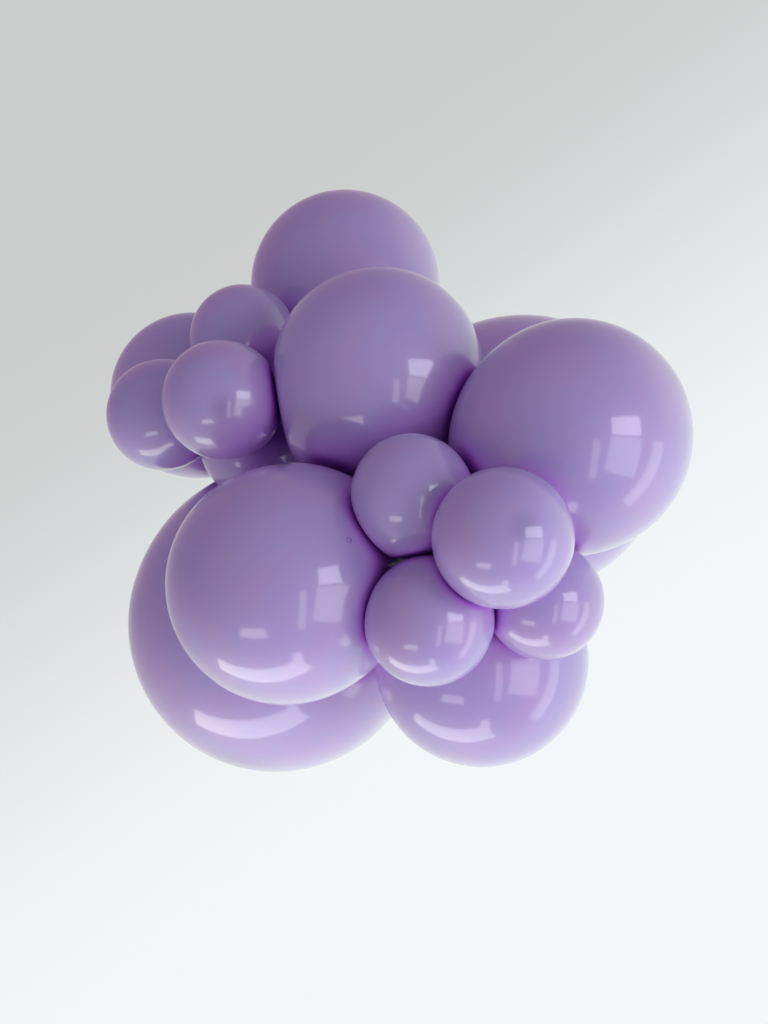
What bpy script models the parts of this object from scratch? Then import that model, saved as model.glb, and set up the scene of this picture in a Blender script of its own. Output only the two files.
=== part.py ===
"""Balloon garland: a short wall cluster of sixteen lilac latex balloons.

Metres, +Z up. The wall is the plane Y = 0 and the garland sits on its -Y side, so someone who
faces the wall looks along +Y with +X to the right. The origin is the middle of the flat spot
where the largest balloon rests on the wall.

The balloons are tied in four clusters of four. The necks of a cluster meet at its hub, and a
balloon's centre lies on the line from the hub through its own knot, so a larger balloon moves
outward and its knot stays at the hub. Two balloons that press on each other share a flat.
"""

import math
from collections import namedtuple

import bmesh
import bpy
from mathutils import Quaternion, Vector

# Balloon diameters at the widest part
LOWER_LEFT_REAR_DIAMETER = 0.280
RIGHT_REAR_DIAMETER = 0.264
TOP_REAR_DIAMETER = 0.185
LEFT_REAR_DIAMETER = 0.163
LOWER_LEFT_FRONT_DIAMETER = 0.192
RIGHT_FRONT_DIAMETER = 0.188
UPPER_FRONT_DIAMETER = 0.178
LOWER_RIGHT_DIAMETER = 0.180
SMALL_LEFT_TOP_DIAMETER = 0.097
SMALL_LEFT_OUTER_DIAMETER = 0.101
SMALL_LEFT_FRONT_DIAMETER = 0.101
SMALL_LEFT_INNER_DIAMETER = 0.093
SMALL_RIGHT_MIDDLE_DIAMETER = 0.093
SMALL_RIGHT_NEAREST_DIAMETER = 0.103
SMALL_RIGHT_LOW_DIAMETER = 0.098
SMALL_RIGHT_OUTER_DIAMETER = 0.091

# Neck lengths, from the round body to the hub
REAR_SHORT_NECK = 0.057
REAR_LONG_NECK = 0.068
FRONT_NECK = 0.041
SMALL_LEFT_NECK = 0.014
SMALL_RIGHT_NECK = 0.020

# Hubs: the rear one by its distance from the wall, the others by their place from the rear one
REAR_HUB_FROM_WALL = 0.067
FRONT_HUB_FROM_REAR = Vector((0.0955, -0.2370, -0.0765))
SMALL_LEFT_HUB_FROM_REAR = Vector((-0.0915, -0.1530, 0.0340))
SMALL_RIGHT_HUB_FROM_REAR = Vector((0.1270, -0.3220, -0.1040))

# Contact
WALL_PRESS = 0.005
CONTACT_GAP = 0.0004

# Skin: how far the neck's side is drawn out, and how sharply a bulge stands out
PEAR_SHARE = 0.08
BULGE_SHARPNESS = 4

# Knots and tails of the large and the small balloons
LARGE_KNOT_DIAMETER = 0.010
SMALL_KNOT_DIAMETER = 0.007
KNOT_GAP = 0.0005
NECK_SHARE_OF_KNOT = 0.65
SHOULDER_END_SHARE_OF_KNOT = 0.9
SHOULDER_SHARE_OF_NECK = 0.6
NECK_ROOT_SHARE_OF_RADIUS = 0.8
TAIL_SHARE_OF_KNOT = 0.45
TAIL_LENGTHS_PER_KNOT = 1.5
LIP_SHARE_OF_KNOT = 1.1
LIP_RIM_SHARE = 0.8
LIP_SHARE_OF_TAIL = 0.16
TAIL_LEAN = 0.3
TAIL_CHOICES = 24
TAIL_WALL_PULL = 0.2

# Facets
SHOULDER_ANGLE = math.radians(28)
SHOULDER_RUN = 0.5
SMALL_TURN = math.radians(1)
BODY_BANDS = 8
SHOULDER_BANDS = 3
KNOT_BANDS = 4
LARGE_SIDES = 20
SMALL_SIDES = 16
NECK_SIDES = 10
SMALLEST_EDGE = 0.0001
SHARP_ANGLE = math.radians(30)

# Finish
LILAC = (0.34, 0.22, 0.50, 1.0)
GLOSS_ROUGHNESS = 0.25

COLLECTION_NAME = "balloon_garland"
JOINED_COLLECTION_NAME = "balloon_garland_necks_and_tails"

Balloon = namedtuple("Balloon", "name diameter neck bearing lift bulge", defaults=(None,))
Bulge = namedtuple("Bulge", "bearing share")
Placed = namedtuple("Placed", "name radius neck centre hub bulge knot_diameter knot_stand sides")

# A bearing is an angle in the wall's plane from +X toward +Z, and a lift is an angle out from it,
# both in degrees. A rear balloon has no lift of its own, because it rests on the wall. A balloon
# that is squeezed by its neighbours bulges on its free side, by a share of its radius.
REAR_CLUSTER = (
    Balloon("balloon_lower_left_rear", LOWER_LEFT_REAR_DIAMETER, REAR_SHORT_NECK, -104.0, None),
    Balloon("balloon_right_rear", RIGHT_REAR_DIAMETER, REAR_LONG_NECK, -6.0, None),
    Balloon("balloon_top_rear", TOP_REAR_DIAMETER, REAR_SHORT_NECK, 83.0, None),
    Balloon("balloon_left_rear", LEFT_REAR_DIAMETER, REAR_SHORT_NECK, 163.0, None),
)
FRONT_CLUSTER = (
    Balloon("balloon_upper_front", UPPER_FRONT_DIAMETER, FRONT_NECK, 110.5, -10.5, Bulge(-130.0, 0.12)),
    Balloon("balloon_right_front", RIGHT_FRONT_DIAMETER, FRONT_NECK, 29.0, 20.0),
    Balloon("balloon_lower_left_front", LOWER_LEFT_FRONT_DIAMETER, FRONT_NECK, -154.5, 17.5),
    Balloon("balloon_lower_right", LOWER_RIGHT_DIAMETER, FRONT_NECK, -71.0, -8.5),
)
SMALL_LEFT_CLUSTER = (
    Balloon("small_left_top", SMALL_LEFT_TOP_DIAMETER, SMALL_LEFT_NECK, 69.0, -31.5),
    Balloon("small_left_outer", SMALL_LEFT_OUTER_DIAMETER, SMALL_LEFT_NECK, -159.0, -26.5),
    Balloon("small_left_front", SMALL_LEFT_FRONT_DIAMETER, SMALL_LEFT_NECK, -54.0, 74.5, Bulge(-40.0, 0.05)),
    Balloon("small_left_inner", SMALL_LEFT_INNER_DIAMETER, SMALL_LEFT_NECK, -60.0, -17.0),
)
SMALL_RIGHT_CLUSTER = (
    Balloon(
        "small_right_middle", SMALL_RIGHT_MIDDLE_DIAMETER, SMALL_RIGHT_NECK, 139.5, 8.0, Bulge(-103.0, 0.08)),
    Balloon("small_right_nearest", SMALL_RIGHT_NEAREST_DIAMETER, SMALL_RIGHT_NECK, 35.0, 75.5),
    Balloon("small_right_low", SMALL_RIGHT_LOW_DIAMETER, SMALL_RIGHT_NECK, -125.0, 18.5),
    Balloon("small_right_outer", SMALL_RIGHT_OUTER_DIAMETER, SMALL_RIGHT_NECK, -37.0, 2.5),
)


def clear_scene():
    """Removes every object, so the garland stands alone."""
    for item in list(bpy.data.objects):
        bpy.data.objects.remove(item, do_unlink=True)


def new_collection(name):
    """A collection linked to the scene."""
    group = bpy.data.collections.new(name)
    bpy.context.scene.collection.children.link(group)
    return group


def latex_material(name):
    """Lilac latex with a soft gloss."""
    material = bpy.data.materials.new(name)
    material.use_nodes = True
    shader = material.node_tree.nodes["Principled BSDF"]
    shader.inputs["Base Color"].default_value = LILAC
    shader.inputs["Roughness"].default_value = GLOSS_ROUGHNESS
    shader.inputs["Metallic"].default_value = 0.0
    return material


def free_centre(hub, balloon):
    """Centre of a balloon that reaches out from its hub along its bearing and lift."""
    bearing = math.radians(balloon.bearing)
    lift = math.radians(balloon.lift)
    along = Vector((math.cos(lift) * math.cos(bearing), -math.sin(lift), math.cos(lift) * math.sin(bearing)))
    return hub + along * (balloon.diameter / 2 + balloon.neck)


def wall_centre(hub, balloon):
    """Centre of a balloon that rests on the wall, on its bearing from the hub."""
    out = balloon.diameter / 2 - WALL_PRESS
    reach = balloon.diameter / 2 + balloon.neck
    along = math.sqrt(reach ** 2 - (out + hub.y) ** 2)
    bearing = math.radians(balloon.bearing)
    return Vector((hub.x + along * math.cos(bearing), -out, hub.z + along * math.sin(bearing)))


def rear_hub():
    """The rear hub, set so that the largest balloon's flat spot is at the origin."""
    hub = Vector((0.0, -REAR_HUB_FROM_WALL, 0.0))
    largest = wall_centre(hub, REAR_CLUSTER[0])
    return hub - Vector((largest.x, 0.0, largest.z))


def place_cluster(cluster, hub, knot_diameter, sides):
    """The balloons of one cluster, each with its centre and its knot's distance from the hub."""
    centres = [wall_centre(hub, item) if item.lift is None else free_centre(hub, item) for item in cluster]
    ways = [(centre - hub).normalized() for centre in centres]
    narrowest = min(ways[i].angle(ways[j]) for i in range(len(ways)) for j in range(i))
    stand = (knot_diameter + KNOT_GAP) / 2 / math.sin(narrowest / 2)
    return [
        Placed(item.name, item.diameter / 2, item.neck, centre, hub, item.bulge, knot_diameter, stand, sides)
        for item, centre in zip(cluster, centres)
    ]


def place_garland():
    """All sixteen balloons in their places, cluster by cluster."""
    rear = rear_hub()
    front = rear + FRONT_HUB_FROM_REAR
    small_left = rear + SMALL_LEFT_HUB_FROM_REAR
    small_right = rear + SMALL_RIGHT_HUB_FROM_REAR
    return (
        place_cluster(REAR_CLUSTER, rear, LARGE_KNOT_DIAMETER, LARGE_SIDES),
        place_cluster(FRONT_CLUSTER, front, LARGE_KNOT_DIAMETER, LARGE_SIDES),
        place_cluster(SMALL_LEFT_CLUSTER, small_left, SMALL_KNOT_DIAMETER, SMALL_SIDES),
        place_cluster(SMALL_RIGHT_CLUSTER, small_right, SMALL_KNOT_DIAMETER, SMALL_SIDES),
    )


def bezier(points, share):
    """A point on a cubic curve, at a share of its run from 0 to 1."""
    rest = 1 - share
    weights = (rest ** 3, 3 * rest ** 2 * share, 3 * rest * share ** 2, share ** 3)
    return tuple(sum(weight * point[axis] for weight, point in zip(weights, points)) for axis in (0, 1))


def knot_height(own):
    """Height of the knot's middle in the balloon's own frame, whose +Z points away from the hub."""
    return own.knot_stand - own.radius - own.neck


def skin_point(radius, angle):
    """A point of the round body at an angle from its crown: a circle, drawn out on the neck's side."""
    drawn = radius * (1 + PEAR_SHARE * min(0.0, math.cos(angle)) ** 2)
    return drawn * math.sin(angle), drawn * math.cos(angle)


def body_outline(own):
    """Half outline of the round body and its shoulder, as distances from the axis and heights."""
    body_turn = math.pi - SHOULDER_ANGLE
    outline = [skin_point(own.radius, body_turn * step / BODY_BANDS) for step in range(BODY_BANDS + 1)]

    start = Vector(outline[-1])
    along = (start - Vector(skin_point(own.radius, body_turn - SMALL_TURN))).normalized()
    end_across = own.knot_diameter / 2 * SHOULDER_END_SHARE_OF_KNOT
    pole = own.radius * (1 + PEAR_SHARE)
    knot_top = own.radius + own.neck - own.knot_stand - own.knot_diameter / 2
    end_height = -pole - (knot_top - pole) * SHOULDER_SHARE_OF_NECK
    curve = (
        start,
        start + along * start.x * SHOULDER_RUN,
        (end_across, end_height + (start.y - end_height) * SHOULDER_RUN),
        (end_across, end_height),
    )
    outline.extend(bezier(curve, step / SHOULDER_BANDS) for step in range(1, SHOULDER_BANDS + 1))
    outline.append((0.0, end_height))
    return outline


def neck_outline(own):
    """Half outline of the neck and its knot, from inside the body down to the knot's end."""
    knot_radius = own.knot_diameter / 2
    neck_angle = math.asin(NECK_SHARE_OF_KNOT)
    root = -own.radius * NECK_ROOT_SHARE_OF_RADIUS
    outline = [(0.0, root), (knot_radius * NECK_SHARE_OF_KNOT, root)]
    for step in range(KNOT_BANDS + 1):
        angle = neck_angle + (math.pi - neck_angle) * step / KNOT_BANDS
        outline.append((knot_radius * math.sin(angle), knot_height(own) + knot_radius * math.cos(angle)))
    return outline


def tail_outline(own):
    """Half outline of the tail and its rolled lip, from the knot's middle up to the lip."""
    knot_radius = own.knot_diameter / 2
    length = own.knot_diameter * TAIL_LENGTHS_PER_KNOT
    lip = knot_radius * LIP_SHARE_OF_KNOT
    lip_height = length * LIP_SHARE_OF_TAIL
    return [
        (0.0, length),
        (lip * LIP_RIM_SHARE, length),
        (lip, length - lip_height / 2),
        (lip * LIP_RIM_SHARE, length - lip_height),
        (knot_radius * TAIL_SHARE_OF_KNOT, 0.0),
        (0.0, 0.0),
    ]


def turned(outline, sides):
    """A closed body turned about Z from a half outline whose two ends lie on the axis."""
    body = bmesh.new()
    corners = [body.verts.new((across, 0.0, height)) for across, height in outline]
    edges = [body.edges.new(pair) for pair in zip(corners, corners[1:])]
    bmesh.ops.spin(body, geom=corners + edges, cent=(0, 0, 0), axis=(0, 0, 1), angle=math.tau, steps=sides)
    bmesh.ops.remove_doubles(body, verts=body.verts, dist=SMALLEST_EDGE)
    bmesh.ops.recalc_face_normals(body, faces=body.faces)
    return body


def press_flat(body, point, outward):
    """Cuts the body off flat at a plane and closes the cut."""
    bmesh.ops.bisect_plane(
        body, geom=body.verts[:] + body.edges[:] + body.faces[:], dist=SMALLEST_EDGE / 10,
        plane_co=point, plane_no=outward, clear_outer=True)
    rim = [edge for edge in body.edges if edge.is_boundary]
    if rim:
        bmesh.ops.edgeloop_fill(body, edges=rim)


def swell(body, own, to_local):
    """Pushes the skin out on the side where the balloon bulges."""
    bearing = math.radians(own.bulge.bearing)
    toward = to_local @ Vector((math.cos(bearing), 0.0, math.sin(bearing)))
    for corner in body.verts:
        facing = max(0.0, corner.co.normalized().dot(toward))
        corner.co *= 1 + own.bulge.share * facing ** BULGE_SHARPNESS


def full_reach(own):
    """The farthest that a balloon's round body reaches from its centre."""
    return own.radius * (1 + max(PEAR_SHARE, own.bulge.share if own.bulge else 0.0))


def contact_planes(own, garland):
    """For each balloon that can press on this one, a point on the shared flat and its outward way."""
    for other in garland:
        apart = other.centre - own.centre
        if other is own or apart.length > full_reach(own) + full_reach(other) + CONTACT_GAP:
            continue
        share = (apart.length ** 2 + own.radius ** 2 - other.radius ** 2) / (2 * apart.length)
        outward = apart.normalized()
        yield own.centre + outward * (share - CONTACT_GAP / 2), outward
    if own.centre.y + own.radius > 0:
        yield Vector((own.centre.x, 0.0, own.centre.z)), Vector((0.0, 1.0, 0.0))


def tail_way(own, cluster):
    """The way a tail points: across its neck, far from the cluster's other necks, wallward if it can."""
    along = (own.centre - own.hub).normalized()
    others = [(item.centre - item.hub).normalized() for item in cluster if item is not own]
    start = along.orthogonal()
    ways = [Quaternion(along, math.tau * step / TAIL_CHOICES) @ start for step in range(TAIL_CHOICES)]
    across = min(ways, key=lambda way: max(way.dot(other) for other in others) - TAIL_WALL_PULL * way.y)
    return (across.normalized() + along * TAIL_LEAN).normalized()


def place(item, where, way):
    """Puts an object at a point with its +Z along a way."""
    item.location = where
    item.rotation_mode = "QUATERNION"
    item.rotation_quaternion = way.to_track_quat("Z", "Y")


def join(balloon, name, outline, where, way, collection):
    """Joins a turned piece of the same skin to the balloon."""
    body = turned(outline, NECK_SIDES)
    piece = bpy.data.objects.new(balloon.name + "_" + name, bpy.data.meshes.new(balloon.name + "_" + name))
    body.to_mesh(piece.data)
    body.free()
    place(piece, where, way)
    piece.hide_render = True
    piece.display_type = "WIRE"
    collection.objects.link(piece)
    joined = balloon.modifiers.new(name, "BOOLEAN")
    joined.operation = "UNION"
    joined.object = piece


def balloon_object(own, cluster, garland, collection, joined_collection):
    """One balloon: body, neck, knot and tail as one solid, pressed flat where it is touched."""
    way = (own.centre - own.hub).normalized()
    balloon = bpy.data.objects.new(own.name, bpy.data.meshes.new(own.name))
    place(balloon, own.centre, way)
    collection.objects.link(balloon)

    body = turned(body_outline(own), own.sides)
    to_local = balloon.rotation_quaternion.inverted()
    if own.bulge:
        swell(body, own, to_local)
    for point, outward in contact_planes(own, garland):
        press_flat(body, to_local @ (point - own.centre), to_local @ outward)
    bmesh.ops.remove_doubles(body, verts=body.verts, dist=SMALLEST_EDGE)
    bmesh.ops.recalc_face_normals(body, faces=body.faces)
    body.to_mesh(balloon.data)
    body.free()

    join(balloon, "neck", neck_outline(own), own.centre, way, joined_collection)
    knot = own.hub + way * own.knot_stand
    join(balloon, "tail", tail_outline(own), knot, tail_way(own, cluster), joined_collection)
    balloon.data.shade_smooth()
    balloon.data.set_sharp_from_angle(angle=SHARP_ANGLE)
    balloon.data.materials.append(latex_material(own.name + "_latex"))


def build_garland():
    """Makes the sixteen balloons."""
    clear_scene()
    collection = new_collection(COLLECTION_NAME)
    joined_collection = new_collection(JOINED_COLLECTION_NAME)
    clusters = place_garland()
    garland = [item for cluster in clusters for item in cluster]
    for cluster in clusters:
        for own in cluster:
            balloon_object(own, cluster, garland, collection, joined_collection)


build_garland()
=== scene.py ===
"""Balloon garland: the finished latex skins, knots and tails around the sixteen solid balloons.

Metres, +Z up. The wall is the plane Y = 0 and the garland sits on its -Y side. Each balloon is made
again as one fine closed skin on its solid's own form: a round body drawn out toward the neck, soft
edged flats where neighbours press, a puckered neck, a wound knot and a frilled tail with its lip.
"""

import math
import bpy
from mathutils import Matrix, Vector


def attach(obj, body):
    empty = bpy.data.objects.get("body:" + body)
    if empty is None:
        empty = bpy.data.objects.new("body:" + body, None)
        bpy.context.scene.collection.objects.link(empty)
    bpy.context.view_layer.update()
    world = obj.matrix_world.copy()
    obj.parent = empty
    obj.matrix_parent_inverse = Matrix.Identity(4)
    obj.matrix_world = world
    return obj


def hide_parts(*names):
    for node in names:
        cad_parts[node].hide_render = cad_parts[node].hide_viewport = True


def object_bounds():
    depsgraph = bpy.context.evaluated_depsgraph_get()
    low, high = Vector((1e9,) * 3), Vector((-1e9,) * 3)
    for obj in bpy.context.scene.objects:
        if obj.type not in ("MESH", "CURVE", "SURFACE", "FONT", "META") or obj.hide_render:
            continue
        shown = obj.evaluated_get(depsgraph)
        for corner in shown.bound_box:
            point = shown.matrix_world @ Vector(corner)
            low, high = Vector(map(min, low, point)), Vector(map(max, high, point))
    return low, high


bl_info = {
    "name": "Balloon Garland",
    "version": (1, 0, 0),
    "blender": (4, 5, 0),
    "location": "View3D > Sidebar > Garland",
    "description": "Dresses a short wall cluster of latex balloons around its solid frame",
    "category": "Add Mesh",
}

from collections import namedtuple

import bpy
import numpy as np
from mathutils import Quaternion, Vector

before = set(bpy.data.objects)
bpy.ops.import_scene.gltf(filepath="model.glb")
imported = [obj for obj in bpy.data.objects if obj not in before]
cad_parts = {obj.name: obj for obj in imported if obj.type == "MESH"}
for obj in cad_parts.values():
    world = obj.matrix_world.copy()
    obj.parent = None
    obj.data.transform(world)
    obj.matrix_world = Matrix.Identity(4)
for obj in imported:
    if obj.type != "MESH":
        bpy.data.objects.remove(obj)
CAD_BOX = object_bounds()

# Balloon diameters at the widest part
LOWER_LEFT_REAR_DIAMETER = 0.280
RIGHT_REAR_DIAMETER = 0.264
TOP_REAR_DIAMETER = 0.185
LEFT_REAR_DIAMETER = 0.163
LOWER_LEFT_FRONT_DIAMETER = 0.192
RIGHT_FRONT_DIAMETER = 0.188
UPPER_FRONT_DIAMETER = 0.178
LOWER_RIGHT_DIAMETER = 0.180
SMALL_LEFT_TOP_DIAMETER = 0.097
SMALL_LEFT_OUTER_DIAMETER = 0.101
SMALL_LEFT_FRONT_DIAMETER = 0.101
SMALL_LEFT_INNER_DIAMETER = 0.093
SMALL_RIGHT_MIDDLE_DIAMETER = 0.093
SMALL_RIGHT_NEAREST_DIAMETER = 0.103
SMALL_RIGHT_LOW_DIAMETER = 0.098
SMALL_RIGHT_OUTER_DIAMETER = 0.091

# Neck lengths, from the round body to the hub
REAR_SHORT_NECK = 0.057
REAR_LONG_NECK = 0.068
FRONT_NECK = 0.041
SMALL_LEFT_NECK = 0.014
SMALL_RIGHT_NECK = 0.020

# Hubs: the rear one by its distance from the wall, the others by their place from the rear one
REAR_HUB_FROM_WALL = 0.067
FRONT_HUB_FROM_REAR = Vector((0.0955, -0.2370, -0.0765))
SMALL_LEFT_HUB_FROM_REAR = Vector((-0.0915, -0.1530, 0.0340))
SMALL_RIGHT_HUB_FROM_REAR = Vector((0.1270, -0.3220, -0.1040))

# Contact with the wall and between balloons, and the least facing that a distance is divided by
WALL_PRESS = 0.005
CONTACT_GAP = 0.00005
LEAST_FACING = 1e-9

# Skin, knots and tails, as on the solids
PEAR_SHARE = 0.08
BULGE_SHARPNESS = 4
LARGE_KNOT_DIAMETER = 0.010
SMALL_KNOT_DIAMETER = 0.007
KNOT_GAP = 0.0005
SHOULDER_ANGLE = math.radians(28)
SHOULDER_RUN = 0.5
SMALL_TURN = math.radians(1)
SHOULDER_END_SHARE_OF_KNOT = 0.9
SHOULDER_SHARE_OF_NECK = 0.6
TAIL_LENGTHS_PER_KNOT = 1.5
LIP_SHARE_OF_KNOT = 1.1
TAIL_LEAN = 0.3
TAIL_CHOICES = 24
TAIL_WALL_PULL = 0.2

# Fineness of the skins: sides and rings
SIDES_PER_METRE_OF_DIAMETER = 1000
SIDES_STEP = 16
FEWEST_SIDES = 128
BODY_SIDES_PER_NECK_SIDE = 4
SHOULDER_RINGS = 14
NECK_RINGS = 6
KNOT_RINGS = 18
TAIL_SIDES = 40
TAIL_WALL_RINGS = 10
LIP_RINGS = 9

# The knot: where its ball takes over from the neck, how thick its core is and how its strands run
KNOT_START_ANGLE = math.radians(50)
KNOT_CORE_SHARE = 0.80
STRAND_TILT = math.radians(27)
STRAND_HALF_WIDTH = 0.42

# The neck's waist, and the tail's root, mouth and rolled lip
NECK_WAIST_SHARE_OF_KNOT = 0.62
NECK_DRAW_IN = 1.6
TAIL_ROOT_SHARE_OF_KNOT = 0.42
TAIL_MOUTH_SHARE = 0.45
LIP_BEAD_SHARE_OF_TAIL = 0.065
LIP_ROLL = (-0.5 * math.pi, 1.1 * math.pi)
LATEX_THICKNESS = 0.0004

# Waves round the lip: how many, how strong, and how far each turns with the balloon's own phase
FRILL_WAVES = ((3, 1.0, 1), (5, 0.4, 2))

# How far one balloon's phase is from the next one's, so that no two are alike
GOLDEN_ANGLE = math.pi * (3 - math.sqrt(5))

# Mottling and grain of the latex. A noise is its scale in cycles per metre, detail and roughness.
MOTTLE_NOISE = (16.0, 3.0, 0.55)
MOTTLE_SHARES = (0.35, 0.65)
SMUDGE_SHARES = (0.3, 0.7)
SMUDGE_ROUGHNESS = 0.05
GRAIN_NOISE = (900.0, 2.0, 0.5)
GRAIN_STRENGTH = 0.35
LATEX_IOR = 1.5

# Where the latex is thick near the neck and at the crown: from where to where in radii, and how strong
NECKWARD_HEIGHTS = (-1.12, -0.72)
NECKWARD_STRENGTH = 0.85
NECKWARD_DULLNESS = 0.15
CROWN_REACHES = (0.02, 0.34)
CROWN_STRENGTH = 0.55

# Rays that find out how much of its outlook neighbours leave a place open, and the open shares
# between which the painted shade of creases, the painted bounce light of folds and the painted shade of
# hollows fade out
OUTLOOK_RAYS = 8
CREASE_SHADE_SHARES = (0.05, 0.5)
PAINTED_BOUNCE_SHARES = (0.25, 0.65)
HOLLOW_SHADE_SHARES = (0.04, 0.30)
HOLLOW_DULLNESS = 0.5

# The curled mark on the skin of one balloon: a ring with a smaller one inside it
CURL_BALLOON = "balloon_lower_left_front"
CURL_BEARING = math.radians(35)
CURL_LIFT = math.radians(49)
CURL_RADIUS = 0.0024
CURL_INNER_SHARE = 0.5
CURL_INNER_SHIFT = 0.3
CURL_LINE = 0.0007

# A mix node's sockets when it blends colours: the share, both colours and the result
MIX_INPUTS = (0, 6, 7)
MIX_OUTPUT = 2

# Surroundings: each grows lighter along a way, from one end to the other. On the cove this is painted
# light and shade in its glow, and the ends are in metres from the garland's middle; all round they are
# the cosine of a look with that way. The light from in front fades out between two cosines of a look with
# +Y.
COVE_PAINTED_LIGHT = ((0.55, 0.0, -0.835), -1.02, 0.76)
WORLD_TONE = ((0.68, 0.0, -0.73), -0.75, 0.62)
FRONT_SHARES = (-0.55, 0.15)

# Fineness and height of the cove
COVE_SIDES = 128
COVE_BEND_RINGS = 17
COVE_HEIGHT_IN_RADII = 3

# Camera: its place, from where it looks level along +Y
CAMERA_PLACE = (0.1005, -1.484, 0.1044)
CAMERA_LENS = 50

Balloon = namedtuple("Balloon", "name diameter neck bearing lift bulge", defaults=(None,))
Bulge = namedtuple("Bulge", "bearing share")
Placed = namedtuple("Placed", "name radius neck centre hub bulge knot_diameter knot_stand")
LowLight = namedtuple("LowLight", "name right back length width turn glow tint")
SideLight = namedtuple("SideLight", "name bearing lift width height glow tint")

# A bearing is an angle in the wall's plane from +X toward +Z, and a lift is an angle out from it,
# both in degrees. A rear balloon has no lift of its own, because it rests on the wall. A balloon
# that is squeezed by its neighbours bulges on its free side, by a share of its radius.
REAR_CLUSTER = (
    Balloon("balloon_lower_left_rear", LOWER_LEFT_REAR_DIAMETER, REAR_SHORT_NECK, -104.0, None),
    Balloon("balloon_right_rear", RIGHT_REAR_DIAMETER, REAR_LONG_NECK, -6.0, None),
    Balloon("balloon_top_rear", TOP_REAR_DIAMETER, REAR_SHORT_NECK, 83.0, None),
    Balloon("balloon_left_rear", LEFT_REAR_DIAMETER, REAR_SHORT_NECK, 163.0, None),
)
FRONT_CLUSTER = (
    Balloon("balloon_upper_front", UPPER_FRONT_DIAMETER, FRONT_NECK, 110.5, -10.5, Bulge(-130.0, 0.12)),
    Balloon("balloon_right_front", RIGHT_FRONT_DIAMETER, FRONT_NECK, 29.0, 20.0),
    Balloon("balloon_lower_left_front", LOWER_LEFT_FRONT_DIAMETER, FRONT_NECK, -154.5, 17.5),
    Balloon("balloon_lower_right", LOWER_RIGHT_DIAMETER, FRONT_NECK, -71.0, -8.5),
)
SMALL_LEFT_CLUSTER = (
    Balloon("small_left_top", SMALL_LEFT_TOP_DIAMETER, SMALL_LEFT_NECK, 69.0, -31.5),
    Balloon("small_left_outer", SMALL_LEFT_OUTER_DIAMETER, SMALL_LEFT_NECK, -159.0, -26.5),
    Balloon(
        "small_left_front", SMALL_LEFT_FRONT_DIAMETER, SMALL_LEFT_NECK, -54.0, 74.5, Bulge(-40.0, 0.05)),
    Balloon("small_left_inner", SMALL_LEFT_INNER_DIAMETER, SMALL_LEFT_NECK, -60.0, -17.0),
)
SMALL_RIGHT_CLUSTER = (
    Balloon(
        "small_right_middle", SMALL_RIGHT_MIDDLE_DIAMETER, SMALL_RIGHT_NECK, 139.5, 8.0,
        Bulge(-103.0, 0.08)),
    Balloon("small_right_nearest", SMALL_RIGHT_NEAREST_DIAMETER, SMALL_RIGHT_NECK, 35.0, 75.5),
    Balloon("small_right_low", SMALL_RIGHT_LOW_DIAMETER, SMALL_RIGHT_NECK, -125.0, 18.5),
    Balloon("small_right_outer", SMALL_RIGHT_OUTER_DIAMETER, SMALL_RIGHT_NECK, -37.0, 2.5),
)

# Soft lights round the garland. Each place is seen from the garland's middle: to the right, back and
# up. A low light lies level and is turned about +Z. A side light stands and faces the middle. A glow
# is how bright the light's own face is.
LOW_LIGHT_DROP = 1.09
PALE_TINT = (0.98, 1.0, 0.95)
LOW_LIGHTS = (
    LowLight("low_band", -0.38, -0.03, 1.28, 0.30, math.radians(-28.6), 3.1, PALE_TINT),
    LowLight("low_band_end", 0.11, -0.47, 0.14, 0.31, 0.0, 3.1, PALE_TINT),
    LowLight("low_lamp", -0.73, -1.08, 0.62, 0.36, math.radians(-22), 3.2, PALE_TINT),
)
SIDE_LIGHT_DISTANCE = 2.6
SIDE_LIGHTS = (
    SideLight("side_top", math.radians(44), math.radians(7), 1.25, 0.66, 5.0, (0.86, 0.90, 1.0)),
    SideLight("side_panel", math.radians(44), math.radians(-17), 1.40, 1.40, 2.15, PALE_TINT),
    SideLight("side_near_edge", math.radians(17), math.radians(-22), 0.30, 1.60, 2.0, PALE_TINT),
    SideLight("side_far_edge", math.radians(78), math.radians(-26), 0.60, 2.20, 1.9, PALE_TINT),
)


class GarlandShape(bpy.types.PropertyGroup):
    """Sizes of the skins' finer forms, which the solids leave out."""

    edge_softness: bpy.props.FloatProperty(
        name="Edge softness",
        description="How softly the skin turns into a flat, as a share of its radius",
        default=0.12, min=0.0, max=0.3, subtype="FACTOR")
    pucker_depth: bpy.props.FloatProperty(
        name="Pucker depth", description="How deep the neck's folds are, as a share of its radius",
        default=0.16, min=0.0, max=0.5, subtype="FACTOR")
    pucker_count: bpy.props.IntProperty(
        name="Puckers", description="Folds around a neck", default=9, min=3, max=24)
    neck_twist: bpy.props.FloatProperty(
        name="Neck twist", description="How far the folds turn on their way to the knot",
        default=math.radians(70), subtype="ANGLE", unit="ROTATION")
    frill_depth: bpy.props.FloatProperty(
        name="Frill depth",
        description="How far the tail's lip waves in and out, as a share of its radius",
        default=0.13, min=0.0, max=0.4, subtype="FACTOR")


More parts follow.
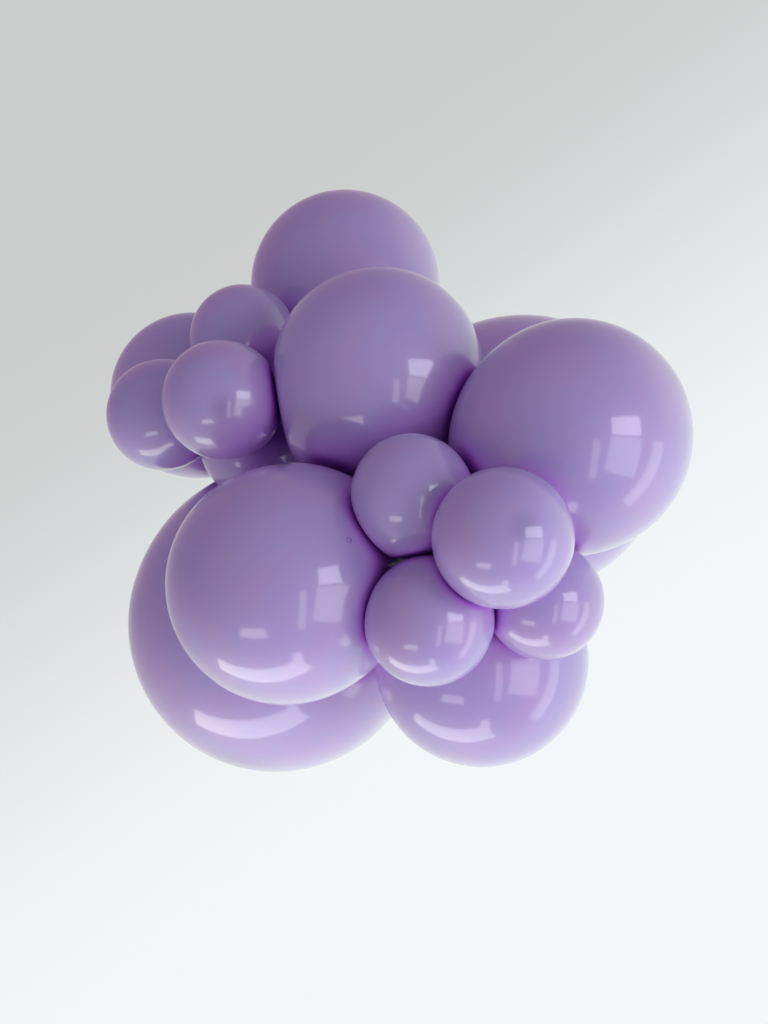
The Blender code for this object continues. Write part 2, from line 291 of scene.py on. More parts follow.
class GarlandLatex(bpy.types.PropertyGroup):
    """Colours and gloss of the latex, with the painted shade and painted bounce light among neighbours.
    """

    lilac: bpy.props.FloatVectorProperty(
        name="Lilac", description="Colour of the stretched skin", subtype="COLOR",
        default=(0.395, 0.258, 0.565), min=0.0, max=1.0)
    cool_lilac: bpy.props.FloatVectorProperty(
        name="Cool lilac", description="Colour of the skin's bluer patches", subtype="COLOR",
        default=(0.35, 0.268, 0.59), min=0.0, max=1.0)
    crown_lilac: bpy.props.FloatVectorProperty(
        name="Crown lilac", description="Colour of the crown, opposite the neck", subtype="COLOR",
        default=(0.20, 0.145, 0.36), min=0.0, max=1.0)
    deep_lilac: bpy.props.FloatVectorProperty(
        name="Deep lilac", description="Colour of the thick latex at the neck, knot and lip",
        subtype="COLOR", default=(0.25, 0.12, 0.44), min=0.0, max=1.0)
    # Painted shade: a deep, saturated purple laid into the skin's colour where it meets a neighbour, in
    # place of the shade and the light bounced between the skins.
    crease_shade_lilac: bpy.props.FloatVectorProperty(
        name="Crease lilac", description="Colour of the skin deep between two balloons", subtype="COLOR",
        default=(0.50, 0.045, 0.75), min=0.0, max=1.0)
    # How far from a neighbour the painted crease shade begins.
    crease_shade_reach: bpy.props.FloatProperty(
        name="Crease reach", description="How far from a neighbour the crease's colour begins",
        default=0.02, min=0.0, subtype="DISTANCE", unit="LENGTH")
    # Painted bounce light: a brighter, more saturated lilac laid into the skin's colour where neighbours
    # shade it from some way off.
    painted_bounce_lilac: bpy.props.FloatVectorProperty(
        name="Fold lilac", description="Colour of the skin that neighbours shade from some way off",
        subtype="COLOR", default=(0.56, 0.28, 0.79), min=0.0, max=1.0)
    # Painted shade: a near-black purple laid into the skin's colour deep in the cluster's hollows.
    hollow_shade_lilac: bpy.props.FloatVectorProperty(
        name="Hollow lilac", description="Colour of the skin inside the hollows of the cluster",
        subtype="COLOR", default=(0.12, 0.005, 0.28), min=0.0, max=1.0)
    hollow_reach: bpy.props.FloatProperty(
        name="Hollow reach", description="How wide the hollows are that the light hardly enters",
        default=0.08, min=0.0, subtype="DISTANCE", unit="LENGTH")
    haze: bpy.props.FloatProperty(
        name="Haze", description="Roughness of the soft shine under the gloss",
        default=0.40, min=0.0, max=1.0, subtype="FACTOR")
    gloss: bpy.props.FloatProperty(
        name="Gloss", description="Roughness of the clear reflections on top",
        default=0.09, min=0.0, max=1.0, subtype="FACTOR")
    grain_height: bpy.props.FloatProperty(
        name="Grain height", description="Height of the skin's fine grain", default=0.00002, min=0.0,
        subtype="DISTANCE", unit="LENGTH")


class GarlandStage(bpy.types.PropertyGroup):
    """Floor and backdrop with their painted light and shade, and soft light."""

    floor_drop: bpy.props.FloatProperty(
        name="Floor drop", description="How far the floor lies under the garland",
        default=1.4, min=0.2, subtype="DISTANCE", unit="LENGTH")
    cove_radius: bpy.props.FloatProperty(
        name="Cove radius", description="Distance from the garland to the backdrop", default=3.2, min=2.5,
        subtype="DISTANCE", unit="LENGTH")
    cove_bend: bpy.props.FloatProperty(
        name="Cove bend", description="Radius of the bend between floor and backdrop",
        default=1.2, min=0.1, subtype="DISTANCE", unit="LENGTH")
    # The cove's glow is painted light and shade: from the shade tone high up on the left to the light
    # tone low down on the right.
    light_tone: bpy.props.FloatVectorProperty(
        name="Light tone", description="Colour of the cove low down on the right", subtype="COLOR",
        default=(0.905, 0.922, 0.947), min=0.0, max=1.0)
    shade_tone: bpy.props.FloatVectorProperty(
        name="Shade tone", description="Colour of the cove high up on the left", subtype="COLOR",
        default=(0.597, 0.617, 0.610), min=0.0, max=1.0)
    low_light: bpy.props.FloatVectorProperty(
        name="Low light", description="Light from low down on the right, all round", subtype="COLOR",
        default=(1.04, 1.15, 1.04), min=0.0, max=2.0)
    high_light: bpy.props.FloatVectorProperty(
        name="High light", description="Light from high up on the left, all round", subtype="COLOR",
        default=(0.39, 0.265, 0.40), min=0.0, max=2.0)
    front_light: bpy.props.FloatVectorProperty(
        name="Front light", description="Light from in front", subtype="COLOR",
        default=(0.44, 0.435, 0.46), min=0.0, max=2.0)
    glow: bpy.props.FloatProperty(
        name="Glow", description="Brightness of all soft lights", default=1.0, min=0.0)


def way_out(bearing, lift):
    """The way at a bearing in the wall's plane, lifted out from it."""
    level = math.cos(lift)
    return Vector((level * math.cos(bearing), -math.sin(lift), level * math.sin(bearing)))


def free_centre(hub, balloon):
    """Centre of a balloon that reaches out from its hub along its bearing and lift."""
    along = way_out(math.radians(balloon.bearing), math.radians(balloon.lift))
    return hub + along * (balloon.diameter / 2 + balloon.neck)


def wall_centre(hub, balloon):
    """Centre of a balloon that rests on the wall, on its bearing from the hub."""
    out = balloon.diameter / 2 - WALL_PRESS
    reach = balloon.diameter / 2 + balloon.neck
    along = math.sqrt(reach ** 2 - (out + hub.y) ** 2)
    bearing = math.radians(balloon.bearing)
    return Vector((hub.x + along * math.cos(bearing), -out, hub.z + along * math.sin(bearing)))


def rear_hub():
    """The rear hub, set so that the largest balloon's flat spot is at the origin."""
    hub = Vector((0.0, -REAR_HUB_FROM_WALL, 0.0))
    largest = wall_centre(hub, REAR_CLUSTER[0])
    return hub - Vector((largest.x, 0.0, largest.z))


def place_cluster(cluster, hub, knot_diameter):
    """The balloons of one cluster, each with its centre and its knot's distance from the hub."""
    centres = [
        wall_centre(hub, item) if item.lift is None else free_centre(hub, item)
        for item in cluster
    ]
    ways = [(centre - hub).normalized() for centre in centres]
    narrowest = min(ways[i].angle(ways[j]) for i in range(len(ways)) for j in range(i))
    stand = (knot_diameter + KNOT_GAP) / 2 / math.sin(narrowest / 2)
    return [
        Placed(item.name, item.diameter / 2, item.neck, centre, hub, item.bulge, knot_diameter, stand)
        for item, centre in zip(cluster, centres)
    ]


def place_garland():
    """All sixteen balloons in their places, cluster by cluster."""
    rear = rear_hub()
    front = rear + FRONT_HUB_FROM_REAR
    small_left = rear + SMALL_LEFT_HUB_FROM_REAR
    small_right = rear + SMALL_RIGHT_HUB_FROM_REAR
    return {
        "rear": place_cluster(REAR_CLUSTER, rear, LARGE_KNOT_DIAMETER),
        "front": place_cluster(FRONT_CLUSTER, front, LARGE_KNOT_DIAMETER),
        "small_left": place_cluster(SMALL_LEFT_CLUSTER, small_left, SMALL_KNOT_DIAMETER),
        "small_right": place_cluster(SMALL_RIGHT_CLUSTER, small_right, SMALL_KNOT_DIAMETER),
    }


def turned(across, height, sides):
    """Rings of points turned about Z, one for each distance from the axis and height."""
    turn = np.arange(sides) * math.tau / sides
    across = np.asarray(across)[:, None]
    height = np.asarray(height)[:, None]
    return np.stack([across * np.cos(turn), across * np.sin(turn), height + 0 * turn], axis=-1)


def bezier(points, shares):
    """Points of a cubic curve at shares of its run from 0 to 1."""
    start, lead, trail, end = (np.array(point)[:, None] for point in points)
    rest = 1 - shares
    outer = rest ** 3 * start + shares ** 3 * end
    return outer + 3 * rest ** 2 * shares * lead + 3 * rest * shares ** 2 * trail


def ease(shares):
    """Shares from 0 to 1 with soft ends."""
    shares = np.clip(shares, 0, 1)
    return shares * shares * (3 - 2 * shares)


def skin_across_and_height(radius, angle):
    """A point of the round body at an angle from its crown: a circle, drawn out on the neck's side."""
    drawn = radius * (1 + PEAR_SHARE * np.minimum(0.0, np.cos(angle)) ** 2)
    return drawn * np.sin(angle), drawn * np.cos(angle)


def body_rings(own, sides):
    """The round body, from its crown to where the shoulder begins."""
    rings = sides // 2
    angle = np.linspace(0, math.pi - SHOULDER_ANGLE, rings)
    return turned(*skin_across_and_height(own.radius, angle), sides)


def shoulder_rings(own, shape, sides, phase):
    """The shoulder, which draws in from the body to the neck and folds as it does."""
    turn = math.pi - SHOULDER_ANGLE
    start = np.array(skin_across_and_height(own.radius, turn))
    before = np.array(skin_across_and_height(own.radius, turn - SMALL_TURN))
    along = (start - before) / np.linalg.norm(start - before)
    end_across = own.knot_diameter / 2 * SHOULDER_END_SHARE_OF_KNOT
    end_height = shoulder_end(own)
    lead = start + along * start[0] * SHOULDER_RUN
    trail = (end_across, end_height + (start[1] - end_height) * SHOULDER_RUN)
    shares = np.arange(1, SHOULDER_RINGS + 1) / SHOULDER_RINGS
    across, height = bezier((start, lead, trail, (end_across, end_height)), shares)
    return pucker(turned(across, height, sides), shares ** 2, shape, phase)


def shoulder_end(own):
    """Height of the shoulder's end, between the body's pole and the knot."""
    pole = own.radius * (1 + PEAR_SHARE)
    knot_top = own.radius + own.neck - own.knot_stand - own.knot_diameter / 2
    return -pole - (knot_top - pole) * SHOULDER_SHARE_OF_NECK


def pucker(rings, amounts, shape, phase):
    """Presses folds into rings, each by its own amount, turning as they go."""
    sides = rings.shape[1]
    turn = np.arange(sides) * math.tau / sides
    amounts = np.asarray(amounts)[:, None]
    neck_fold_and_painted_bounce = 0.5 - 0.5 * np.cos(shape.pucker_count * (turn + shape.neck_twist * amounts) + phase)
    folded = rings.copy()
    folded[..., :2] *= (1 - shape.pucker_depth * amounts * neck_fold_and_painted_bounce)[..., None]
    return folded


def neck_rings(own, shape, sides, phase):
    """The neck's waist between shoulder and knot."""
    knot_radius = own.knot_diameter / 2
    middle = own.knot_stand - own.radius - own.neck
    top = middle + knot_radius * KNOT_CORE_SHARE * math.cos(KNOT_START_ANGLE)
    shares = np.arange(1, NECK_RINGS) / NECK_RINGS
    height = shoulder_end(own) + (top - shoulder_end(own)) * shares
    ends = knot_radius * (SHOULDER_END_SHARE_OF_KNOT - NECK_WAIST_SHARE_OF_KNOT)
    across = knot_radius * NECK_WAIST_SHARE_OF_KNOT + ends * (1 - ease(shares * NECK_DRAW_IN))
    return pucker(turned(across, height, sides), np.ones(len(shares)), shape, phase)


def knot_rings(own, sides, phase):
    """The knot: a small ball wound with two crossing strands."""
    knot_radius = own.knot_diameter / 2
    middle = own.knot_stand - own.radius - own.neck
    angle = np.linspace(KNOT_START_ANGLE, math.pi, KNOT_RINGS)
    ways = turned(np.sin(angle), np.cos(angle), sides)
    rise = np.zeros(ways.shape[:2])
    for side in (-1, 1):
        lean = math.sin(STRAND_TILT * side)
        strand = np.array((lean * math.cos(phase), lean * math.sin(phase), math.cos(STRAND_TILT)))
        off = np.arcsin(np.clip(ways @ strand, -1, 1)) / STRAND_HALF_WIDTH
        rise = np.maximum(rise, np.sqrt(np.clip(1 - off ** 2, 0, 1)))
    reach = knot_radius * (KNOT_CORE_SHARE + (1 - KNOT_CORE_SHARE) * rise)
    return ways * reach[..., None] + np.array((0, 0, middle))


def swell(rings, own, to_local):
    """Pushes the skin out on the side where the balloon bulges."""
    toward = np.array(to_local @ way_out(math.radians(own.bulge.bearing), 0.0))
    reach = np.linalg.norm(rings, axis=-1, keepdims=True)
    facing = np.maximum(0.0, (rings / reach) @ toward)[..., None]
    return rings * (1 + own.bulge.share * facing ** BULGE_SHARPNESS)


def full_reach(own):
    """The farthest that a balloon's round body reaches from its centre."""
    return own.radius * (1 + max(PEAR_SHARE, own.bulge.share if own.bulge else 0.0))


def contact_planes(own, garland):
    """Each flat that a neighbour or the wall can press into this balloon: outward way and distance."""
    for other in garland:
        apart = other.centre - own.centre
        if other is own or apart.length > full_reach(own) + full_reach(other) + CONTACT_GAP:
            continue
        share = (apart.length ** 2 + own.radius ** 2 - other.radius ** 2) / (2 * apart.length)
        yield apart.normalized(), share - CONTACT_GAP / 2
    if own.centre.y + own.radius > 0:
        yield Vector((0.0, 1.0, 0.0)), -own.centre.y


def press(rings, toward, distance, softest, keep_within):
    """Presses the skin back behind a flat, with a soft edge, but leaves the thin neck as it is."""
    facing = rings @ toward
    overhang = (facing - distance).max()
    if overhang <= 0:
        return rings
    soft = min(softest, overhang)
    reach = np.linalg.norm(rings, axis=-1)
    limit = np.where(facing > 0, reach * distance / np.maximum(facing, LEAST_FACING), np.inf)
    near = np.clip(1 - np.abs(reach - limit) / soft, 0, 1)
    pressed = np.minimum(reach, limit) - near ** 2 * soft / 4
    across = np.linalg.norm(rings[..., :2], axis=-1)
    thick = np.where(rings[..., 2] > 0, 1, ease(across / keep_within - 1))
    return rings * (1 + thick * (pressed / reach - 1))[..., None]


def tail_way(own, cluster):
    """The way a tail points: across its neck, far from the cluster's other necks, wallward if it can."""
    along = (own.centre - own.hub).normalized()
    others = [(item.centre - item.hub).normalized() for item in cluster if item is not own]
    start = along.orthogonal()
    ways = [Quaternion(along, math.tau * step / TAIL_CHOICES) @ start for step in range(TAIL_CHOICES)]
    across = min(ways, key=lambda way: max(way.dot(other) for other in others) - TAIL_WALL_PULL * way.y)
    return (across.normalized() + along * TAIL_LEAN).normalized()


def tail_rings(own, shape, phase):
    """The tail: a flared tube from the knot to its rolled lip, open at the mouth."""
    knot_radius = own.knot_diameter / 2
    length = own.knot_diameter * TAIL_LENGTHS_PER_KNOT
    bead = length * LIP_BEAD_SHARE_OF_TAIL
    lip_across = knot_radius * LIP_SHARE_OF_KNOT - bead
    root = knot_radius * TAIL_ROOT_SHARE_OF_KNOT
    shares = np.linspace(0, 1, TAIL_WALL_RINGS)
    flare = root + (lip_across - root) * shares ** 2
    wall_height = (length - 2 * bead) * shares
    roll = np.linspace(*LIP_ROLL, LIP_RINGS)
    lip = lip_across + bead * np.cos(roll)
    lip_height = length - bead + bead * np.sin(roll)
    inside = shares[::-1][1:] * (1 - TAIL_MOUTH_SHARE) + TAIL_MOUTH_SHARE
    inner = root + (lip_across - root) * inside ** 2 - LATEX_THICKNESS
    across = np.concatenate([[0], flare, lip, inner, [0]])
    height = np.concatenate([[0], wall_height, lip_height, (length - 2 * bead) * inside])
    height = np.append(height, height[-1])
    rings = turned(across, height, TAIL_SIDES)
    turn = np.arange(TAIL_SIDES) * math.tau / TAIL_SIDES
    wave = sum(strength * np.cos(count * turn + shift * phase) for count, strength, shift in FRILL_WAVES)
    rings[..., :2] *= (1 + shape.frill_depth * (height[:, None] / length) ** 2 * wave)[..., None]
    return rings[::-1]


def closed_mesh(name, rings):
    """A closed mesh over rings whose first and last close to a point, with fewer sides further down."""
    points = [rings[0][:1], *rings[1:-1], rings[-1][:1]]
    starts = np.cumsum([0] + [len(ring) for ring in points])
    faces = []
    for upper, lower, first, second in zip(points, points[1:], starts, starts[1:]):
        if len(lower) == 1:
            sides = len(upper)
            faces.extend((first + j, second, first + (j + 1) % sides) for j in range(sides))
            continue
        sides = len(lower)
        step = len(upper) // sides
        for j in range(sides):
            rim = [first + k % len(upper) for k in range(step * (j + 1), step * j - 1, -1)]
            faces.append([second + j, second + (j + 1) % sides, *rim])
    mesh = bpy.data.meshes.new(name)
    mesh.from_pydata(np.concatenate(points).tolist(), [], faces)
    mesh.update()
    mesh.shade_smooth()
    return mesh


def add_object(name, mesh, where, turn=Quaternion()):
    """An object in the scene at a point, with its mesh turned."""
    mesh.transform(turn.to_matrix().to_4x4())
    added = bpy.data.objects.new(name, mesh)
    bpy.context.scene.collection.objects.link(added)
    added.location = where
    return added


def join_tail(skin, tail):
    """Makes skin and tail one closed mesh."""
    joined = skin.modifiers.new("tail", "BOOLEAN")
    joined.operation = "UNION"
    joined.object = tail
    evaluated = skin.evaluated_get(bpy.context.evaluated_depsgraph_get())
    whole = bpy.data.meshes.new_from_object(evaluated)
    skin.modifiers.clear()
    skin.data = whole
    bpy.data.objects.remove(tail, do_unlink=True)
    skin.data.shade_smooth()


def add_node(tree, kind, options=None, **inputs):
    """Adds a shader node, sets its options, and sets or links the inputs that are given by name."""
    added = tree.nodes.new(kind)
    for name, value in (options or {}).items():
        setattr(added, name, value)
    for name, value in inputs.items():
        connect(tree, added, name.replace("_", " "), value)
    return added


def connect(tree, added, name, value):
    """Sets one input of a node, or links it."""
    if isinstance(value, bpy.types.NodeSocket):
        tree.links.new(value, added.inputs[name])
    else:
        added.inputs[name].default_value = value


def blend_colours(tree, share, first, second):
    """A colour between two others."""
    mixed = tree.nodes.new("ShaderNodeMix")
    mixed.data_type = "RGBA"
    for socket, value in zip(MIX_INPUTS, (share, first, second)):
        connect(tree, mixed, socket, value)
    return mixed.outputs[MIX_OUTPUT]


def ramp(tree, value, low, high, bottom, top):
    """A value taken softly from one range to another."""
    ranged = add_node(tree, "ShaderNodeMapRange", {"interpolation_type": "SMOOTHSTEP"}, Value=value)
    for name, number in (("From Min", low), ("From Max", high), ("To Min", bottom), ("To Max", top)):
        ranged.inputs[name].default_value = number
    return ranged.outputs["Result"]


def arithmetic(tree, operation, first, second):
    """One step of arithmetic, such as a sum, a product or the larger of two."""
    done = tree.nodes.new("ShaderNodeMath")
    done.operation = operation
    connect(tree, done, 0, first)
    connect(tree, done, 1, second)
    return done.outputs[0]


def vector_value(tree, operation, first, second, wanted="Value"):
    """One number or vector from two vectors, such as how far apart they are."""
    done = tree.nodes.new("ShaderNodeVectorMath")
    done.operation = operation
    connect(tree, done, 0, first)
    connect(tree, done, 1, second)
    return done.outputs[wanted]


def noise(tree, place, scale, detail, roughness):
    """Cloudy noise from 0 to 1."""
    clouds = add_node(
        tree, "ShaderNodeTexNoise", Vector=place, Scale=scale, Detail=detail, Roughness=roughness)
    return clouds.outputs["Fac"]


def ring_line(tree, place, point, radius, width):
    """One on a thin ring round a point, and zero off it."""
    apart = vector_value(tree, "DISTANCE", place, point)
    off = arithmetic(tree, "ABSOLUTE", arithmetic(tree, "SUBTRACT", apart, radius), 0)
    return ramp(tree, off, 0, width, 1, 0)


def open_share(tree, reach):
    """The share of a place's outlook that is free of other skin within a reach."""
    outlook = add_node(tree, "ShaderNodeAmbientOcclusion", {"samples": OUTLOOK_RAYS}, Distance=reach)
    return outlook.outputs["AO"]


def latex_material(own, way, latex, phase, curl):
    """Lilac latex: mottled, deeper where it is thick, with painted shade and bounce light where
    neighbours shut it in, soft gloss and fine grain.

    The curl is where the curled mark sits, or None on a balloon without one.
    """
    material = bpy.data.materials.new(own.name + "_latex")
    material.use_nodes = True
    tree = material.node_tree
    shader = tree.nodes["Principled BSDF"]
    place = tree.nodes.new("ShaderNodeTexCoord").outputs["Object"]
    shifted = add_node(tree, "ShaderNodeMapping", Vector=place)
    shifted.inputs["Location"].default_value = (phase, 2 * phase, 3 * phase)
    seeded = shifted.outputs["Vector"]

    clouds = noise(tree, seeded, *MOTTLE_NOISE)
    grain = noise(tree, seeded, *GRAIN_NOISE)
    mottling = ramp(tree, clouds, *MOTTLE_SHARES, 0, 1)
    colour = blend_colours(tree, mottling, (*latex.lilac, 1), (*latex.cool_lilac, 1))

    height = vector_value(tree, "DOT_PRODUCT", place, way / own.radius)
    neckward = ramp(tree, height, *NECKWARD_HEIGHTS, NECKWARD_STRENGTH, 0)
    from_crown = vector_value(tree, "DISTANCE", place, way * own.radius)
    crown_ends = (share * own.radius for share in CROWN_REACHES)
    crown = ramp(tree, from_crown, *crown_ends, CROWN_STRENGTH, 0)
    colour = blend_colours(tree, neckward, colour, (*latex.deep_lilac, 1))
    colour = blend_colours(tree, crown, colour, (*latex.crown_lilac, 1))
    if curl is not None:
        inner = curl + Vector((CURL_RADIUS, CURL_RADIUS, 0)) * CURL_INNER_SHIFT
        outer_line = ring_line(tree, place, curl, CURL_RADIUS, CURL_LINE)
        inner_line = ring_line(tree, place, inner, CURL_RADIUS * CURL_INNER_SHARE, CURL_LINE)
        line = arithmetic(tree, "MAXIMUM", outer_line, inner_line)
        colour = blend_colours(tree, line, colour, (*latex.deep_lilac, 1))

    wide_share = open_share(tree, latex.hollow_reach)
    # Painted bounce light where neighbours shade the skin from some way off.
    neck_fold_and_painted_bounce = ramp(tree, wide_share, *PAINTED_BOUNCE_SHARES, 1, 0)
    # Painted shade deep in the hollows, where little light gets in.
    hollow_shade = ramp(tree, wide_share, *HOLLOW_SHADE_SHARES, 1, 0)
    # Painted crease shade where a neighbour is close.
    crease_shade = ramp(tree, open_share(tree, latex.crease_shade_reach), *CREASE_SHADE_SHARES, 1, 0)
    colour = blend_colours(tree, neck_fold_and_painted_bounce, colour, (*latex.painted_bounce_lilac, 1))
    colour = blend_colours(tree, crease_shade, colour, (*latex.crease_shade_lilac, 1))
    colour = blend_colours(tree, hollow_shade, colour, (*latex.hollow_shade_lilac, 1))
    connect(tree, shader, "Base Color", colour)

    dullest = latex.haze + SMUDGE_ROUGHNESS
    rough = ramp(tree, clouds, *SMUDGE_SHARES, latex.haze - SMUDGE_ROUGHNESS, dullest)
    for place_share, dullness in ((neckward, NECKWARD_DULLNESS), (hollow_shade, HOLLOW_DULLNESS)):
        rough = arithmetic(tree, "ADD", rough, arithmetic(tree, "MULTIPLY", place_share, dullness))
    connect(tree, shader, "Roughness", rough)
    bump = add_node(
        tree, "ShaderNodeBump", Strength=GRAIN_STRENGTH, Distance=latex.grain_height, Height=grain)
    connect(tree, shader, "Normal", bump.outputs["Normal"])
    shader.inputs["IOR"].default_value = LATEX_IOR
    # The coat's clear reflections fade out in the hollows, with the painted shade there.
    connect(tree, shader, "Coat Weight", arithmetic(tree, "SUBTRACT", 1.0, hollow_shade))
    shader.inputs["Coat Roughness"].default_value = latex.gloss
    shader.inputs["Coat IOR"].default_value = LATEX_IOR
    return material


def add_balloon(own, cluster, garland, index):
    """One balloon's finished skin in place of its solid."""
    scene = bpy.context.scene
    shape = scene.garland_shape
    phase = index * GOLDEN_ANGLE
    way = (own.centre - own.hub).normalized()
    turn = way.to_track_quat("Z", "Y")
    to_local = turn.inverted()

    side_steps = round(own.radius * 2 * SIDES_PER_METRE_OF_DIAMETER / SIDES_STEP)
    sides = max(FEWEST_SIDES, side_steps * SIDES_STEP)
    neck_sides = sides // BODY_SIDES_PER_NECK_SIDE
    skin = np.concatenate([body_rings(own, sides), shoulder_rings(own, shape, sides, phase)])
    if own.bulge:
        skin = swell(skin, own, to_local)
    for toward, distance in contact_planes(own, garland):
        toward = np.array(to_local @ toward)
        skin = press(skin, toward, distance, shape.edge_softness * own.radius, own.knot_diameter / 2)
    rings = [*skin, *neck_rings(own, shape, neck_sides, phase), *knot_rings(own, neck_sides, phase)]
    balloon = add_object(own.name + "_skin", closed_mesh(own.name + "_skin", rings), own.centre, turn)

    knot = own.hub + way * own.knot_stand
    tail = closed_mesh(own.name + "_tail", list(tail_rings(own, shape, phase)))
    tail_turn = tail_way(own, cluster).to_track_quat("Z", "Y")
    join_tail(balloon, add_object(own.name + "_tail", tail, knot, tail_turn))

    curl = own.radius * way_out(CURL_BEARING, CURL_LIFT) if own.name == CURL_BALLOON else None
    balloon.data.materials.clear()
    balloon.data.materials.append(latex_material(own, way, scene.garland_latex, phase, curl))
    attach(balloon, "root")
    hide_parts(own.name)


def add_cluster(key):
    """The finished balloons of one cluster."""
    clusters = place_garland()
    garland = [own for cluster in clusters.values() for own in cluster]
    for own in clusters[key]:
        add_balloon(own, clusters[key], garland, garland.index(own))


class GARLAND_OT_rear_cluster(bpy.types.Operator):
    """Make the four large balloons that rest on the wall"""

    bl_idname = "garland.rear_cluster"
    bl_label = "Rear balloons"

    def execute(self, context):
        add_cluster("rear")
        return {"FINISHED"}


class GARLAND_OT_front_cluster(bpy.types.Operator):
    """Make the four large balloons in front"""

    bl_idname = "garland.front_cluster"
    bl_label = "Front balloons"

    def execute(self, context):
        add_cluster("front")
        return {"FINISHED"}


class GARLAND_OT_small_left_cluster(bpy.types.Operator):
    """Make the four small balloons on the left"""

    bl_idname = "garland.small_left_cluster"
    bl_label = "Small left balloons"

    def execute(self, context):
        add_cluster("small_left")
        return {"FINISHED"}


class GARLAND_OT_small_right_cluster(bpy.types.Operator):
    """Make the four small balloons on the right"""

    bl_idname = "garland.small_right_cluster"
    bl_label = "Small right balloons"

    def execute(self, context):
        add_cluster("small_right")
        return {"FINISHED"}


def middle_of_garland():
    """The middle of the solids' box."""
    low, high = CAD_BOX
    return (Vector(low) + Vector(high)) / 2


def tone_along(tree, place, run, shade, light):
    """A colour that goes from shade to light as a place moves along a way between its ends."""
    way, shade_end, light_end = run
    share = ramp(tree, vector_value(tree, "DOT_PRODUCT", place, way), shade_end, light_end, 0, 1)
    return blend_colours(tree, share, (*shade, 1), (*light, 1))


def add_world(stage):
    """Soft surroundings for light and reflections, dimmer in front than behind."""
    world = bpy.data.worlds.new("soft_surroundings")
    world.use_nodes = True
    tree = world.node_tree
    way = tree.nodes.new("ShaderNodeTexCoord").outputs["Generated"]
    wall = tone_along(tree, way, WORLD_TONE, stage.high_light, stage.low_light)
    back = add_node(tree, "ShaderNodeSeparateXYZ", Vector=way).outputs["Y"]
    front = ramp(tree, back, *FRONT_SHARES, 1, 0)
    colour = blend_colours(tree, front, wall, (*stage.front_light, 1))
    connect(tree, tree.nodes["Background"], "Color", colour)
    bpy.context.scene.world = world


def add_cove(stage):
    """The pale floor that bends up into a backdrop all round, glowing with painted light and shade."""
    middle = middle_of_garland()
    floor = CAD_BOX[0][2] - stage.floor_drop
    flat = stage.cove_radius - stage.cove_bend
    bend = np.linspace(0, math.pi / 2, COVE_BEND_RINGS)
    top = COVE_HEIGHT_IN_RADII * stage.cove_radius
    across = np.concatenate([[0], flat + stage.cove_bend * np.sin(bend), [stage.cove_radius]])
    height = np.concatenate([[0], stage.cove_bend * (1 - np.cos(bend)), [top]])
    points = turned(across, height, COVE_SIDES).reshape(-1, 3).tolist()
    corners = [(j, (j + 1) % COVE_SIDES) for j in range(COVE_SIDES)]
    faces = [
        (low + j, low + k, low + COVE_SIDES + k, low + COVE_SIDES + j)
        for low in range(0, (len(across) - 1) * COVE_SIDES, COVE_SIDES) for j, k in corners
    ]
    mesh = bpy.data.meshes.new("cove")
    mesh.from_pydata(points, [], faces)
    mesh.shade_smooth()
    cove = add_object("cove", mesh, (middle.x, middle.y, floor))
    material = bpy.data.materials.new("pale_cove_painted_light")
    material.use_nodes = True
    tree = material.node_tree
    tree.nodes.clear()
    place = tree.nodes.new("ShaderNodeTexCoord").outputs["Object"]
    # Painted light and shade: the glow is lighter low on the right and darker high on the left.
    level = vector_value(tree, "SUBTRACT", place, (0.0, 0.0, middle.z - floor), "Vector")
    tone = tone_along(tree, level, COVE_PAINTED_LIGHT, stage.shade_tone, stage.light_tone)
    glow = add_node(tree, "ShaderNodeEmission", Color=tone)
    output = tree.nodes.new("ShaderNodeOutputMaterial")
    tree.links.new(glow.outputs["Emission"], output.inputs["Surface"])
    mesh.materials.append(material)
    cove.visible_diffuse = False
    cove.visible_glossy = False
    cove.visible_shadow = False


def add_light(light, size, place, turn, stage):
    """One soft area light that shines along its own -Z."""
    area = bpy.data.lights.new(light.name, "AREA")
    area.shape = "RECTANGLE"
    area.size, area.size_y = size
    area.energy = light.glow * stage.glow * math.pi * area.size * area.size_y
    area.color = light.tint
    lamp = bpy.data.objects.new(light.name, area)
    lamp.location = middle_of_garland() + place
    lamp.rotation_mode = "QUATERNION"
    lamp.rotation_quaternion = turn
    lamp.visible_camera = False
    bpy.context.scene.collection.objects.link(lamp)


def add_low_light(light, stage):
    """A light that lies level under the garland and shines up."""
    turn = Quaternion((0, 0, 1), light.turn) @ Quaternion((1, 0, 0), math.pi)
    place = Vector((light.right, light.back, -LOW_LIGHT_DROP))
    add_light(light, (light.length, light.width), place, turn, stage)


def add_side_light(light, stage):
    """A light that stands in front or on the right and faces the garland."""
    toward = Vector((
        math.cos(light.lift) * math.sin(light.bearing), -math.cos(light.lift) * math.cos(light.bearing),
        math.sin(light.lift)))
    turn = toward.to_track_quat("Z", "Y")
    add_light(light, (light.width, light.height), toward * SIDE_LIGHT_DISTANCE, turn, stage)


def add_camera():
    """The camera, level and square to the garland."""
    lens = bpy.data.cameras.new("camera")
    lens.lens = CAMERA_LENS
    camera = bpy.data.objects.new("camera", lens)
    camera.location = CAMERA_PLACE
    camera.rotation_euler = (math.pi / 2, 0, 0)
    bpy.context.scene.collection.objects.link(camera)
    bpy.context.scene.camera = camera


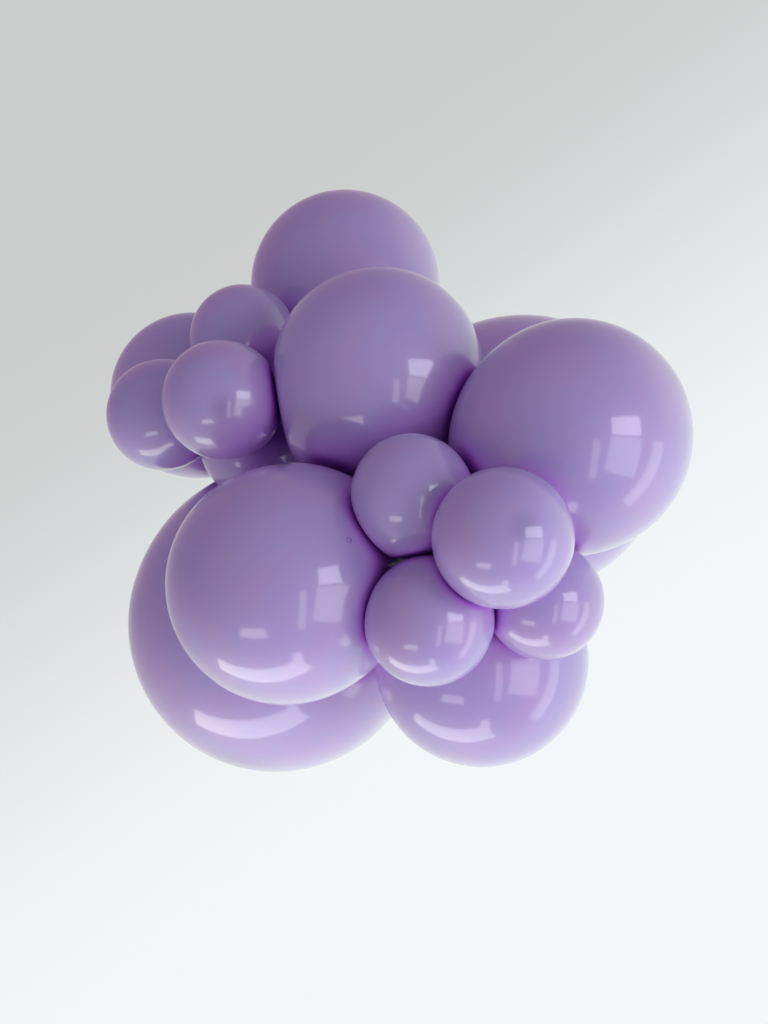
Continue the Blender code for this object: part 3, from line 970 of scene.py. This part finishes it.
class GARLAND_OT_stage(bpy.types.Operator):
    """Set up the pale cove, the soft lights and the camera"""

    bl_idname = "garland.stage"
    bl_label = "Stage"

    def execute(self, context):
        stage = context.scene.garland_stage
        context.scene.view_settings.view_transform = "Standard"
        add_world(stage)
        add_cove(stage)
        for light in LOW_LIGHTS:
            add_low_light(light, stage)
        for light in SIDE_LIGHTS:
            add_side_light(light, stage)
        add_camera()
        return {"FINISHED"}


class GARLAND_PT_panel(bpy.types.Panel):
    """Sizes, colours and steps of the garland"""

    bl_idname = "GARLAND_PT_panel"
    bl_label = "Balloon Garland"
    bl_space_type = "VIEW_3D"
    bl_region_type = "UI"
    bl_category = "Garland"

    def draw(self, context):
        scene = context.scene
        for group in (scene.garland_shape, scene.garland_latex, scene.garland_stage):
            box = self.layout.box()
            for name in group.__annotations__:
                box.prop(group, name)
        for operator in OPERATORS:
            self.layout.operator(operator.bl_idname)


GROUPS = (GarlandShape, GarlandLatex, GarlandStage)
OPERATORS = (
    GARLAND_OT_rear_cluster, GARLAND_OT_front_cluster, GARLAND_OT_small_left_cluster,
    GARLAND_OT_small_right_cluster, GARLAND_OT_stage,
)
CLASSES = (*GROUPS, *OPERATORS, GARLAND_PT_panel)


def register():
    """Makes the settings, operators and panel known to Blender."""
    for item in CLASSES:
        bpy.utils.register_class(item)
    bpy.types.Scene.garland_shape = bpy.props.PointerProperty(type=GarlandShape)
    bpy.types.Scene.garland_latex = bpy.props.PointerProperty(type=GarlandLatex)
    bpy.types.Scene.garland_stage = bpy.props.PointerProperty(type=GarlandStage)


def unregister():
    """Removes them again."""
    del bpy.types.Scene.garland_stage
    del bpy.types.Scene.garland_latex
    del bpy.types.Scene.garland_shape
    for item in reversed(CLASSES):
        bpy.utils.unregister_class(item)


def main():
    """Makes the whole garland and its stage."""
    register()
    bpy.ops.garland.rear_cluster()
    bpy.ops.garland.front_cluster()
    bpy.ops.garland.small_left_cluster()
    bpy.ops.garland.small_right_cluster()
    bpy.ops.garland.stage()


if __name__ == "__main__":
    main()
